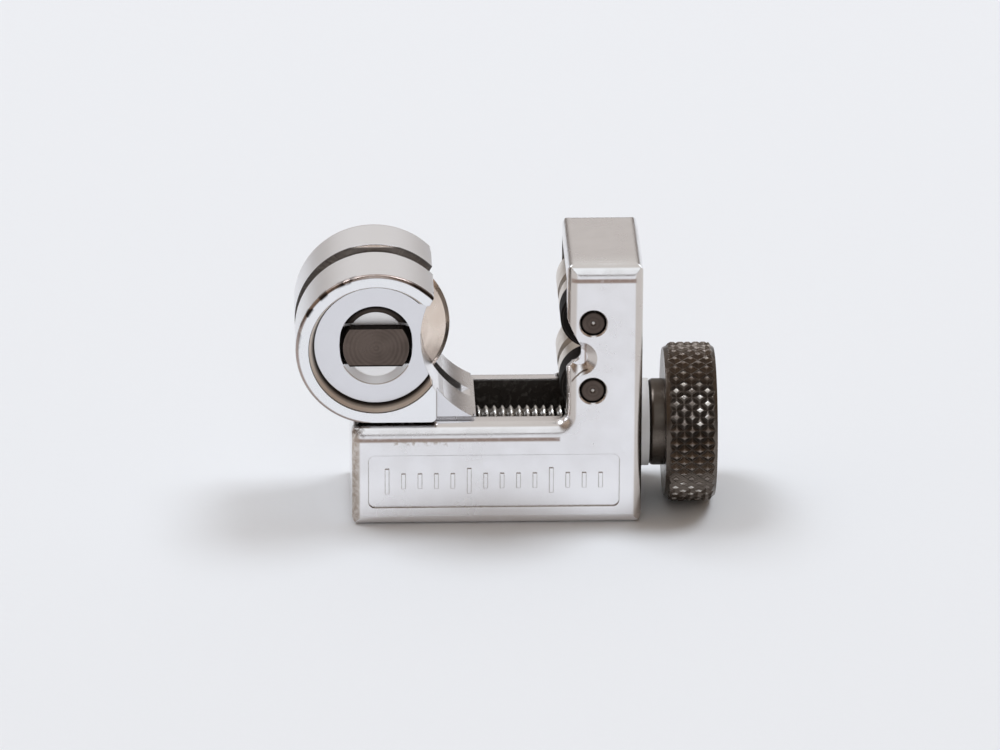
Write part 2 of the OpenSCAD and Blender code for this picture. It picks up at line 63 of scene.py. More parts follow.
mm = 0.001
wheelCentre = sum(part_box("cutter_wheel"), Vector()) / 2
knobLow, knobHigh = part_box("knob")
screwAxis = (knobLow + knobHigh) / 2
upperRoller = sum(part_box("upper_roller"), Vector()) / 2
lowerRoller = sum(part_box("lower_roller"), Vector()) / 2


# Helpers for edit-mode work

def deselectAll():
    if bpy.context.mode != "OBJECT":
        bpy.ops.object.mode_set(mode="OBJECT")
    bpy.ops.object.select_all(action="DESELECT")


def takeObject(piece):
    deselectAll()
    piece.select_set(True)
    bpy.context.view_layer.objects.active = piece


def applyPlace(piece):
    takeObject(piece)
    bpy.ops.object.transform_apply(location=True, rotation=True, scale=True)


def applyModifier(piece, modifier):
    takeObject(piece)
    bpy.ops.object.modifier_apply(modifier=modifier.name)


def selectParts(piece, kind, test):
    # the select mode comes before the flags, which it would otherwise flush away
    bpy.ops.object.mode_set(mode="EDIT")
    bpy.ops.mesh.select_mode(type=kind)
    bpy.ops.object.mode_set(mode="OBJECT")
    mesh = piece.data
    for part in (mesh.vertices, mesh.edges, mesh.polygons):
        part.foreach_set("select", [False] * len(part))
    for part in mesh.polygons if kind == "FACE" else mesh.edges:
        part.select = test(part)
    bpy.ops.object.mode_set(mode="EDIT")


def edgeEnds(piece, edge):
    return [piece.data.vertices[i].co for i in edge.vertices]


def closeSeams(piece, mergeDistance=1e-6):
    takeObject(piece)
    bpy.ops.object.mode_set(mode="EDIT")
    bpy.ops.mesh.select_mode(type="VERT")
    bpy.ops.mesh.select_all(action="SELECT")
    bpy.ops.mesh.remove_doubles(threshold=mergeDistance)
    bpy.ops.mesh.normals_make_consistent(inside=False)
    bpy.ops.object.mode_set(mode="OBJECT")


def smoothByAngle(piece, degrees):
    takeObject(piece)
    bpy.ops.object.shade_smooth_by_angle(angle=math.radians(degrees))


def turnedPiece(name, profile, segments):
    # profile: places along X and radii, from one end face to the other, round the screw's axis
    startX, startR = profile[0]
    deselectAll()
    bpy.ops.mesh.primitive_circle_add(
        vertices=segments, radius=startR, fill_type="NGON",
        location=(startX, 0, screwAxis.z), rotation=(0, math.pi / 2, 0))
    piece = bpy.context.active_object
    piece.name = piece.data.name = name
    applyPlace(piece)
    bpy.ops.object.mode_set(mode="EDIT")
    bpy.ops.mesh.select_mode(type="FACE")
    bpy.ops.mesh.select_all(action="SELECT")
    x, r = startX, startR
    for nextX, nextR in profile[1:]:
        bpy.ops.mesh.extrude_region_move(TRANSFORM_OT_translate={"value": (nextX - x, 0, 0)})
        bpy.ops.transform.resize(
            value=(1, nextR / r, nextR / r), center_override=(nextX, 0, screwAxis.z))
        x, r = nextX, nextR
    bpy.ops.object.mode_set(mode="OBJECT")
    closeSeams(piece)
    return piece


def dress(piece, material):
    piece.data.materials.clear()
    piece.data.materials.append(material)


# Node tools

def newGroup(name, inputs, outputs):
    group = bpy.data.node_groups.new(name, "ShaderNodeTree")
    for label, kind, value in inputs:
        socket = group.interface.new_socket(name=label, in_out="INPUT", socket_type=kind)
        if value is not None:
            socket.default_value = value
    for label, kind in outputs:
        group.interface.new_socket(name=label, in_out="OUTPUT", socket_type=kind)
    return group, group.nodes.new("NodeGroupInput"), group.nodes.new("NodeGroupOutput")


def addNode(tree, kind, settings=None, **values):
    node = tree.nodes.new(kind)
    for key, value in (settings or {}).items():
        setattr(node, key, value)
    for key, value in values.items():
        node.inputs[key.replace("_", " ")].default_value = value
    return node


def mathNode(tree, operation, first, second=None, clamp=False):
    node = tree.nodes.new("ShaderNodeMath")
    node.operation = operation
    node.use_clamp = clamp
    for index, value in enumerate((first, second)):
        if value is None:
            continue
        if isinstance(value, (int, float)):
            node.inputs[index].default_value = value
        else:
            tree.links.new(value, node.inputs[index])
    return node.outputs[0]


def spread(tree, value, low, high, newLow=0.0, newHigh=1.0):
    node = addNode(tree, "ShaderNodeMapRange", {"interpolation_type": "SMOOTHSTEP"})
    for index, number in enumerate((low, high, newLow, newHigh), 1):
        node.inputs[index].default_value = number
    tree.links.new(value, node.inputs[0])
    return node.outputs[0]


def product(tree, *factors):
    value = factors[0]
    for factor in factors[1:]:
        value = mathNode(tree, "MULTIPLY", value, factor)
    return value


def largest(tree, *values):
    value = values[0]
    for other in values[1:]:
        value = mathNode(tree, "MAXIMUM", value, other)
    return value


def inverse(tree, mask):
    return mathNode(tree, "SUBTRACT", 1.0, mask)


def blend(tree, first, firstShare, second, secondShare):
    return mathNode(tree, "ADD", product(tree, first, firstShare),
                    product(tree, second, secondShare))


def fade(tree, value, low, high):
    return spread(tree, value, low, high, 1.0, 0.0)


def between(tree, value, low, high, soft):
    return product(tree, spread(tree, value, low - soft, low), fade(tree, value, high, high + soft))


def vectorNode(tree, operation, first, second=None):
    node = addNode(tree, "ShaderNodeVectorMath", {"operation": operation})
    tree.links.new(first, node.inputs[0])
    if isinstance(second, tuple):
        node.inputs[1].default_value = second
    elif second is not None:
        tree.links.new(second, node.inputs[1])
    return node


def splitVector(tree, vector):
    node = addNode(tree, "ShaderNodeSeparateXYZ")
    tree.links.new(vector, node.inputs[0])
    return node.outputs[0], node.outputs[1], node.outputs[2]


def noiseValue(tree, vector, scale, detail=2.0, roughness=0.5, distortion=0.0):
    node = addNode(tree, "ShaderNodeTexNoise", Scale=scale, Detail=detail,
                   Roughness=roughness, Distortion=distortion)
    tree.links.new(vector, node.inputs["Vector"])
    return node.outputs["Fac"]


def mixColour(tree, factor, first, second):
    node = addNode(tree, "ShaderNodeMix", {"data_type": "RGBA"})
    if isinstance(factor, (int, float)):
        node.inputs[0].default_value = factor
    else:
        tree.links.new(factor, node.inputs[0])
    for index, colour in ((6, first), (7, second)):
        if isinstance(colour, tuple):
            node.inputs[index].default_value = (*colour, 1.0)
        else:
            tree.links.new(colour, node.inputs[index])
    return node.outputs[2]


# Shared effects

grainSizes = {
    "fineDetail": 3.0, "fineRoughness": 0.6, "fineShare": 0.35,
    "softScale": 420.0, "softShare": 0.65,
    "broadScale": 95.0,
    "softTone": 0.4, "broadTone": 0.6,
    "cellScale": 330.0,
    "pitChance": (0.955, 0.965),    # only the few cells with a higher random value hold a pit
    "pitRadius": (0.03, 0.09),
}


def makeCastGrain(sizes):
    group, entry, leave = newGroup(
        "castGrain",
        [("Vector", "NodeSocketVector", None), ("Grain Size", "NodeSocketFloat", 0.3)],
        [("Height", "NodeSocketFloat"), ("Tone", "NodeSocketFloat"), ("Pits", "NodeSocketFloat")])
    vector = entry.outputs["Vector"]
    # the grain size is in millimetres
    scale = mathNode(group, "DIVIDE", 1000.0, entry.outputs["Grain Size"])
    fine = addNode(group, "ShaderNodeTexNoise",
                   Detail=sizes["fineDetail"], Roughness=sizes["fineRoughness"])
    group.links.new(vector, fine.inputs["Vector"])
    group.links.new(scale, fine.inputs["Scale"])
    soft = noiseValue(group, vector, sizes["softScale"])
    broad = noiseValue(group, vector, sizes["broadScale"])
    cells = addNode(group, "ShaderNodeTexVoronoi", Scale=sizes["cellScale"], Randomness=1.0)
    group.links.new(vector, cells.inputs["Vector"])
    chosen = addNode(group, "ShaderNodeSeparateColor")
    group.links.new(cells.outputs["Color"], chosen.inputs[0])
    rare = spread(group, chosen.outputs[0], *sizes["pitChance"])
    near = fade(group, cells.outputs["Distance"], *sizes["pitRadius"])
    height = blend(group, fine.outputs["Fac"], sizes["fineShare"], soft, sizes["softShare"])
    tone = blend(group, soft, sizes["softTone"], broad, sizes["broadTone"])
    group.links.new(height, leave.inputs["Height"])
    group.links.new(tone, leave.inputs["Tone"])
    group.links.new(product(group, rare, near), leave.inputs["Pits"])
    return group


wearSizes = {
    "samples": 6,
    "bend": (0.004, 0.09),          # one minus the cosine between the bevelled and the true normal
    "noise": (900.0, 3.0, 0.6),     # scale, detail and roughness
    "chipped": (0.52, 0.66),
}


def makeEdgeWear(sizes):
    group, entry, leave = newGroup(
        "edgeWear",
        [("Vector", "NodeSocketVector", None), ("Radius", "NodeSocketFloat", 0.0002)],
        [("Mask", "NodeSocketFloat"), ("Chips", "NodeSocketFloat"), ("Normal", "NodeSocketVector")])
    bevel = addNode(group, "ShaderNodeBevel", {"samples": sizes["samples"]})
    group.links.new(entry.outputs["Radius"], bevel.inputs["Radius"])
    geometry = group.nodes.new("ShaderNodeNewGeometry")
    dot = vectorNode(group, "DOT_PRODUCT", bevel.outputs[0], geometry.outputs["Normal"])
    mask = spread(group, inverse(group, dot.outputs["Value"]), *sizes["bend"])
    broken = noiseValue(group, entry.outputs["Vector"], *sizes["noise"])
    chips = product(group, mask, spread(group, broken, *sizes["chipped"]))
    group.links.new(mask, leave.inputs["Mask"])
    group.links.new(chips, leave.inputs["Chips"])
    group.links.new(bevel.outputs[0], leave.inputs["Normal"])
    return group


rolledSizes = {
    "largest": (0.93, 0.999),    # largest part of the normal, from rounded to flat
    "upperFade": 0.3,
    "aside": (0.10, 0.30),       # roundings that run along X get no painted reflection, only the shoulder's colour
    "wall": (0.75, 0.95),
    "shoulderFoot": (0.50, 0.80), "shoulderTop": (0.965, 0.99),
}


def makeRolledEdge(sizes):
    # finds surfaces that face none of the six main directions, such as rounded edges
    group, entry, leave = newGroup(
        "rolledEdge", [("Upper Limit", "NodeSocketFloat", 0.4)],
        [("Mask", "NodeSocketFloat"), ("Wall", "NodeSocketFloat"), ("Shoulder", "NodeSocketFloat")])
    normal = group.nodes.new("ShaderNodeNewGeometry").outputs["Normal"]
    alongX, alongY, alongZ = splitVector(group, vectorNode(group, "ABSOLUTE", normal).outputs[0])
    upward = splitVector(group, normal)[2]
    above = mathNode(group, "SUBTRACT", upward, entry.outputs["Upper Limit"])
    mask = product(group, fade(group, largest(group, alongX, alongY, alongZ), *sizes["largest"]),
                   fade(group, above, -sizes["upperFade"], 0.0),
                   spread(group, alongX, *sizes["aside"]))
    shoulder = product(group, spread(group, upward, *sizes["shoulderFoot"]),
                       fade(group, upward, *sizes["shoulderTop"]),
                       fade(group, alongX, *sizes["aside"]))
    group.links.new(mask, leave.inputs["Mask"])
    group.links.new(fade(group, alongY, *sizes["wall"]), leave.inputs["Wall"])
    group.links.new(shoulder, leave.inputs["Shoulder"])
    return group


def softEdge(group, past, softness):
    # 1 inside and 0 outside, over a width of the softness
    share = mathNode(group, "DIVIDE", past, softness)
    return mathNode(group, "SUBTRACT", 0.5, share, True)


def makeRingBand():
    group, entry, leave = newGroup(
        "ringBand",
        [("Vector", "NodeSocketVector", None), ("Inner", "NodeSocketFloat", 0.001),
         ("Outer", "NodeSocketFloat", 0.002), ("Softness", "NodeSocketFloat", 0.0001)],
        [("Mask", "NodeSocketFloat")])
    radius = vectorNode(group, "LENGTH", entry.outputs["Vector"]).outputs["Value"]
    past = mathNode(group, "SUBTRACT", radius, entry.outputs["Outer"])
    short = mathNode(group, "SUBTRACT", entry.outputs["Inner"], radius)
    mask = softEdge(group, largest(group, past, short), entry.outputs["Softness"])
    group.links.new(mask, leave.inputs["Mask"])
    return group


latheSizes = {
    "wobbleScale": 260.0, "wobble": 0.5,
    "waveShare": 0.3, "secondTurns": 5.3, "secondShare": 0.2,
}


def makeLatheRings(sizes):
    # the vector is already centred, with nothing along the axis, so its length is the radius,
    # and the pitch is in millimetres
    group, entry, leave = newGroup(
        "latheRings",
        [("Vector", "NodeSocketVector", None), ("Pitch", "NodeSocketFloat", 0.2)],
        [("Height", "NodeSocketFloat")])
    vector = entry.outputs["Vector"]
    radius = vectorNode(group, "LENGTH", vector).outputs["Value"]
    turns = mathNode(group, "DIVIDE", product(group, radius, 1000.0), entry.outputs["Pitch"])
    wobble = noiseValue(group, vector, sizes["wobbleScale"], 1.0)
    turns = mathNode(group, "ADD", turns, product(group, wobble, sizes["wobble"]))
    wave = mathNode(group, "SINE", product(group, turns, 2 * math.pi))
    second = mathNode(group, "SINE", product(group, turns, sizes["secondTurns"]))
    height = blend(group, wave, sizes["waveShare"], second, sizes["secondShare"])
    group.links.new(height, leave.inputs["Height"])
    return group


def makeInsideBox():
    group, entry, leave = newGroup(
        "insideBox",
        [("Vector", "NodeSocketVector", None), ("Centre", "NodeSocketVector", None),
         ("Half Size", "NodeSocketVector", None), ("Softness", "NodeSocketFloat", 0.0003)],
        [("Mask", "NodeSocketFloat")])
    away = vectorNode(group, "SUBTRACT", entry.outputs["Vector"], entry.outputs["Centre"])
    size = vectorNode(group, "ABSOLUTE", away.outputs[0])
    past = vectorNode(group, "SUBTRACT", size.outputs[0], entry.outputs["Half Size"])
    most = largest(group, *splitVector(group, past.outputs[0]))
    group.links.new(softEdge(group, most, entry.outputs["Softness"]), leave.inputs["Mask"])
    return group


castGrain = makeCastGrain(grainSizes)
edgeWear = makeEdgeWear(wearSizes)
latheRings = makeLatheRings(latheSizes)
insideBox = makeInsideBox()
rolledEdge = makeRolledEdge(rolledSizes)
ringBand = makeRingBand()
print("shared effects built")


# Materials

toneRange = (0.3, 0.7)    # of the grain's tone, from the one colour to the other


def newMaterial(name):
    material = bpy.data.materials.new(name)
    material.use_nodes = True
    tree = material.node_tree
    shader = tree.nodes["Principled BSDF"]
    place = tree.nodes.new("ShaderNodeTexCoord").outputs["Object"]
    return material, tree, shader, place


def useGroup(tree, group, links, values=None):
    node = tree.nodes.new("ShaderNodeGroup")
    node.node_tree = group
    for label, source in links.items():
        tree.links.new(source, node.inputs[label])
    for label, value in (values or {}).items():
        node.inputs[label].default_value = value
    return node


def addBump(tree, shader, height, distance, normal=None):
    bump = addNode(tree, "ShaderNodeBump", Strength=1.0, Distance=distance)
    tree.links.new(height, bump.inputs["Height"])
    if normal is not None:
        tree.links.new(normal, bump.inputs["Normal"])
    tree.links.new(bump.outputs[0], shader.inputs["Normal"])


def centredOn(tree, place, centre, flat):
    # moves the pattern to a centre and drops the direction of the axis
    node = addNode(tree, "ShaderNodeMapping", {"vector_type": "TEXTURE"})
    tree.links.new(place, node.inputs["Vector"])
    node.inputs["Location"].default_value = centre
    return vectorNode(tree, "MULTIPLY", node.outputs[0], flat).outputs[0]


def boxMask(tree, place, centre, half, softness):
    node = useGroup(tree, insideBox, {"Vector": place},
                    {"Centre": centre, "Half Size": half, "Softness": softness})
    return node.outputs["Mask"]


def ringMask(tree, vector, inner, outer, softness):
    node = useGroup(tree, ringBand, {"Vector": vector},
                    {"Inner": inner, "Outer": outer, "Softness": softness})
    return node.outputs["Mask"]


def paint(tree, colour, mask, target):
    return mixColour(tree, mask, colour, target)


castLook = {
    "colour": (0.91, 0.905, 0.925),
    "shade": (0.85, 0.84, 0.85),
    # painted light: the colour of roundings that face up along X, set by which way they face
    "shoulder": (0.93, 0.93, 0.94), "shoulderPolish": 0.10,
    "rolled": (0.60, 0.54, 0.49),        # painted reflection of the darker surroundings on roundings that face sideways
    # wear colour, also used for painted shade along the panel's edges and the left end's painted
    # reflection
    "wornAndShade": (0.42, 0.35, 0.29),
    "line": (0.31, 0.225, 0.185),        # painted reflection: a dark line where a rounding meets the front
    # colour of rubbed-through plating, also used for painted shade at the boss's edge and the
    # panel's walls
    "bareAndShade": (0.17, 0.13, 0.105),
    "pit": (0.24, 0.20, 0.18),
    "grease": (0.022, 0.019, 0.017),
    # dark grease, also standing for painted shade in the channel, the arm's cavity, the slot and
    # under the slider's foot
    "inside": (0.05, 0.043, 0.038),
    "greaseStreak": (0.13, 0.12, 0.11),
    "greaseNoise": (700.0, 4.0, 0.6, 1.5),    # scale, detail, roughness and distortion
    "greaseRange": (0.5, 0.7),
    "roughLow": 0.20, "roughHigh": 0.29, "satin": 0.41,
    "grainSize": 0.30,                   # in millimetres
    "grainDepth": 0.000008,
    "wearRadius": 0.00015, "chipShare": 0.7, "chipDepth": 1.5,
    "blotches": (1500.0, 4.0, 0.65),     # scale, detail and roughness
}


def addSatin(tree, shader, mask, value):
    # raises the roughness inside a mask
    source = shader.inputs["Roughness"].links[0].from_socket
    tree.links.new(largest(tree, source, product(tree, mask, value)), shader.inputs["Roughness"])


def castBase(name, look):
    material, tree, shader, place = newMaterial(name)
    grain = useGroup(tree, castGrain, {"Vector": place}, {"Grain Size": look["grainSize"]})
    wear = useGroup(tree, edgeWear, {"Vector": place}, {"Radius": look["wearRadius"]})
    rolled = useGroup(tree, rolledEdge, {})
    shoulder, chips = rolled.outputs["Shoulder"], wear.outputs["Chips"]
    tone = spread(tree, grain.outputs["Tone"], *toneRange)
    colour = mixColour(tree, tone, look["shade"], look["colour"])
    colour = paint(tree, colour, product(tree, chips, look["chipShare"]), look["wornAndShade"])
    colour = paint(tree, colour, grain.outputs["Pits"], look["pit"])
    rough = spread(tree, grain.outputs["Tone"], *toneRange, look["roughHigh"], look["roughLow"])
    rough = mathNode(tree, "SUBTRACT", rough, product(tree, shoulder, look["shoulderPolish"]))
    tree.links.new(rough, shader.inputs["Roughness"])
    # painted light on the upward-facing roundings
    colour = paint(tree, colour, shoulder, look["shoulder"])
    height = mathNode(tree, "SUBTRACT", grain.outputs["Height"],
                      product(tree, chips, look["chipDepth"]))
    addBump(tree, shader, height, look["grainDepth"], wear.outputs["Normal"])
    blotches = noiseValue(tree, place, *look["blotches"])
    return material, tree, shader, place, colour, rolled, blotches, wear


mattBlackLook = {"specular": 0.06, "satin": 0.6}


def addMattBlack(tree, shader, mask):
    # matt black and no metal, for the pins' black sides, the rollers' dark end faces and the
    # painted shade on the rollers' front land
    tree.links.new(inverse(tree, mask), shader.inputs["Metallic"])
    shader.inputs["Specular IOR Level"].default_value = mattBlackLook["specular"]
    addSatin(tree, shader, mask, mattBlackLook["satin"])


def addGreaseAndShade(tree, shader, place, colour, look, boxes):
    # grease, which also stands for painted shade in the channel, the arm's cavity and the wheel's
    # slot, is matt and no metal
    streaks = noiseValue(tree, place, *look["greaseNoise"])
    grease = mixColour(tree, spread(tree, streaks, *look["greaseRange"]),
                       look["inside"], look["greaseStreak"])
    covered = 0.0
    for box in boxes:
        covered = mathNode(tree, "MAXIMUM", boxMask(tree, place, *box), covered)
    tree.links.new(inverse(tree, covered), shader.inputs["Metallic"])
    return paint(tree, colour, covered, grease)


# Boxes have a centre, half their size and a softness, rings an inner and an outer radius and
# a softness, and breaks the range of the blotches that interrupts a mark
frameMarks = {
    "channel": ((-0.2 * mm, 0, 9.0 * mm), (17.3 * mm, 7.15 * mm, 5.85 * mm), 0.0004),
    "armInside": ((13.6 * mm, 0, 24.9 * mm), (4.7 * mm, 8.25 * mm, 11.0 * mm), 0.0004),
    "panel": ((0, -9.9 * mm, 5.8 * mm), (19.0 * mm, 0.35 * mm, 4.6 * mm), 0.0002),
    "leftEnd": ((-20.6 * mm, 0, 6.6 * mm), (1.5 * mm, 12 * mm, 9 * mm), 0.0009),
    "topCorner": ((-19.9 * mm, -9.6 * mm, 14.4 * mm), (1.3 * mm, 1.6 * mm, 1.0 * mm), 0.0009),
    "scuff": ((-10.6 * mm, -10.0 * mm, 12.4 * mm), (3.6 * mm, 0.6 * mm, 0.35 * mm), 0.0006),
    "armChips": ((19.7 * mm, -5.0 * mm, 38.2 * mm), (0.75 * mm, 4.0 * mm, 0.7 * mm), 0.0006),
    "armTop": ((14.7 * mm, -8.9 * mm, 38.5 * mm), (6.0 * mm, 1.5 * mm, 0.6 * mm), 0.0030),
    "lowFace": ((0, -10.0 * mm, 2.6 * mm), (22 * mm, 1.5 * mm, 4.0 * mm), 0.0060),
    "foot": ((0, -10.0 * mm, 0.4 * mm), (22 * mm, 1.5 * mm, 1.2 * mm), 0.0030),
    "armLine": ((14.2 * mm, -9.9 * mm, 36.18 * mm), (4.9 * mm, 0.35 * mm, 0.30 * mm), 0.00025),
    "barLine": ((-5.6 * mm, -9.9 * mm, 12.76 * mm), (14.3 * mm, 0.35 * mm, 0.28 * mm), 0.00025),
    "notchLine": ((12.2 * mm, -9.2 * mm, 25.2 * mm), (0.12 * mm, 0.9 * mm, 1.7 * mm), 0.00025),
    "bossArc": ((11.2 * mm, -9.8 * mm, 22.2 * mm), (1.3 * mm, 0.9 * mm, 1.0 * mm), 0.0003),
    "underFoot": ((-14.6 * mm, -8.6 * mm, 15.0 * mm), (6.0 * mm, 1.5 * mm, 0.45 * mm), 0.0003),
    "bossRing": (3.08 * mm, 3.28 * mm, 0.00012),
    "armTopSheen": (0.97, 0.985, 1.0), "lowFaceLight": (1.0, 0.99, 1.0), "footSatin": 0.5,
    "rolledShare": 0.85, "endShare": 0.85, "mottling": (0.35, 0.6),
    "lineShare": 0.95, "lineBreaks": (0.25, 0.5, 0.6, 1.0),
    "scuffShare": 0.8, "scuffBreaks": (0.48, 0.60),
    "chipBreaks": (0.46, 0.54), "panelShare": 0.6, "underBreaks": (0.2, 0.4),
}


def makeFrameMetal(look, marks):
    material, tree, shader, place, colour, rolled, blotches, wear = castBase("frameCast", look)

    def inBox(name):
        return boxMask(tree, place, *marks[name])
    wornAndShade, wall = wear.outputs["Mask"], rolled.outputs["Wall"]
    mottled = spread(tree, blotches, *marks["mottling"])
    # painted reflection: the front part of the arm's top painted brighter
    colour = paint(tree, colour, inBox("armTop"), marks["armTopSheen"])
    # painted light: the lower front face painted brighter against the shadow on the floor it
    # mirrors
    colour = paint(tree, colour, inBox("lowFace"), marks["lowFaceLight"])
    addSatin(tree, shader, inBox("foot"), marks["footSatin"])
    # painted reflection on the roundings that face sideways
    edges = product(tree, rolled.outputs["Mask"], marks["rolledShare"])
    colour = paint(tree, colour, edges, look["rolled"])
    # painted reflection and shade: broken dark lines where the top roundings meet the front, and
    # along the notch's crease
    lines = largest(tree, inBox("armLine"), inBox("barLine"), inBox("notchLine"))
    line = product(tree, lines, spread(tree, blotches, *marks["lineBreaks"]), marks["lineShare"])
    colour = paint(tree, colour, line, look["line"])
    # painted shade: a dark arc along the edge of the boss round the lower roller pin
    boss = centredOn(tree, place, lowerRoller, (1, 0, 1))
    arc = product(tree, ringMask(tree, boss, *marks["bossRing"]), inBox("bossArc"))
    colour = paint(tree, colour, arc, look["bareAndShade"])
    # plating rubbed thin, mottled, on the left end's roundings, which also paints in their brown
    # reflection
    end = product(tree, inBox("leftEnd"), mottled, rolled.outputs["Mask"], marks["endShare"])
    colour = paint(tree, colour, end, look["wornAndShade"])
    colour = paint(tree, colour, product(tree, inBox("topCorner"), mottled), look["bareAndShade"])
    scuff = product(tree, inBox("scuff"), spread(tree, blotches, *marks["scuffBreaks"]),
                    marks["scuffShare"])
    colour = paint(tree, colour, scuff, look["wornAndShade"])
    chips = product(tree, inBox("armChips"), spread(tree, blotches, *marks["chipBreaks"]), wornAndShade)
    colour = paint(tree, colour, chips, look["bareAndShade"])
    # painted shade along the sunken panel's edges and walls
    panel = inBox("panel")
    colour = paint(tree, colour, product(tree, panel, wornAndShade, marks["panelShare"]), look["wornAndShade"])
    colour = paint(tree, colour, product(tree, panel, wall), look["bareAndShade"])
    # painted shadow in the gap under the slider's foot, broken by blotches
    under = product(tree, inBox("underFoot"), spread(tree, blotches, *marks["underBreaks"]))
    colour = paint(tree, colour, under, look["inside"])
    # grease and painted shade in the channel and the arm's cavity
    greasy = [marks["channel"], marks["armInside"]]
    colour = addGreaseAndShade(tree, shader, place, colour, look, greasy)
    tree.links.new(colour, shader.inputs["Base Color"])
    return material


rimRadius = 11.1 * mm
pocketOuter = 9.45 * mm
dishRadius = 5.0 * mm
dishDepth = 7.55 * mm     # of the dish's floor and of the face, from the middle plane
faceDepth = 8.0 * mm
headMarks = {
    # rings round the wheel's axis, or round one shifted up or down from it
    "rim": (rimRadius - 0.1 * mm, rimRadius + 1 * mm, 0.0001),
    "rimEdge": (rimRadius - 0.42 * mm, rimRadius + 0.1 * mm, 0.00015),
    "burrRing": (rimRadius - 0.55 * mm, rimRadius + 0.1 * mm, 0.0003),
    "pocket": (8.35 * mm, pocketOuter, 0.00005),
    "pocketBrown": (0.0, 8.86 * mm, 0.0003),
    "pocketBlack": (0.0, 8.66 * mm, 0.0002),
    "pocketLine": (pocketOuter - 0.17 * mm, pocketOuter, 0.00008),
    "dish": (0.0, 6.6 * mm, 0.0001),
    "dishUpper": (4.55 * mm, 6.0 * mm, 0.0004),
    "dishOutline": (dishRadius - 0.10 * mm, dishRadius + 0.06 * mm, 0.00008),
    "seat": (0.0, 5.15 * mm, 0.0001),
    "dishShift": 0.8 * mm,
    # depths from the middle plane, the same on both faces
    "faceBand": (7.96 * mm, 8.04 * mm, 0.04 * mm),
    "rimFront": (9.5 * mm, 9.9 * mm),
    "lineFront": (9.40 * mm, 9.55 * mm),
    "pocketFront": (7.7 * mm, 7.9 * mm),
    "slopeBand": (dishDepth + 0.03 * mm, faceDepth - 0.02 * mm, 0.02 * mm),
    "floorEnd": (dishDepth + 0.02 * mm, dishDepth + 0.04 * mm),
    "outlineFront": (8.2 * mm, 8.4 * mm),
    "seatEnd": (dishDepth - 0.10 * mm, dishDepth - 0.04 * mm),
    # heights over the wheel's axis
    "dishTop": (3.2 * mm - 0.05 * mm, 3.2 * mm + 0.05 * mm),
    "besidePin": (-2.75 * mm, 2.75 * mm, 0.1 * mm),
    "outlineTop": (-3.2 * mm, -2.9 * mm),
    "burrs": [
        ((-25.0 * mm, -10.0 * mm, 31.0 * mm), (2.0 * mm, 0.6 * mm, 4.0 * mm), 0.0012),
        ((-20.8 * mm, -10.0 * mm, 36.2 * mm), (1.0 * mm, 0.6 * mm, 0.8 * mm), 0.0010),
    ],
    "lip": ((-9.9 * mm, -10.0 * mm, 34.8 * mm), (2.0 * mm, 0.6 * mm, 1.7 * mm), 0.0012),
    "footArea": ((-9.5 * mm, -10.0 * mm, 17.3 * mm), (8.0 * mm, 1.0 * mm, 6.7 * mm), 0.0006),
    "footEnd": ((-8.28 * mm, -9.8 * mm, 17.6 * mm), (0.13 * mm, 0.6 * mm, 2.4 * mm), 0.0002),
    "slot": (tuple(wheelCentre), (12 * mm, 1.62 * mm, 10.6 * mm), 0.0003),
    "rimLight": (0.93, 0.94, 0.96), "sunkenFaceShade": (0.79, 0.79, 0.82), "dishFloor": (1.0, 1.0, 1.0),
    "black": (0.016, 0.013, 0.012), "brown": (0.12, 0.098, 0.082), "beige": (1.0, 0.90, 0.80),
    "rolledShare": 0.5, "lineShare": 0.85, "lineBreaks": (0.2, 0.45, 0.5, 1.0),
    "burrScale": 620.0, "burrBreaks": (0.44, 0.50), "outlineShare": 0.8,
    "pocketSatin": 0.6, "dishSatin": 0.48,
}


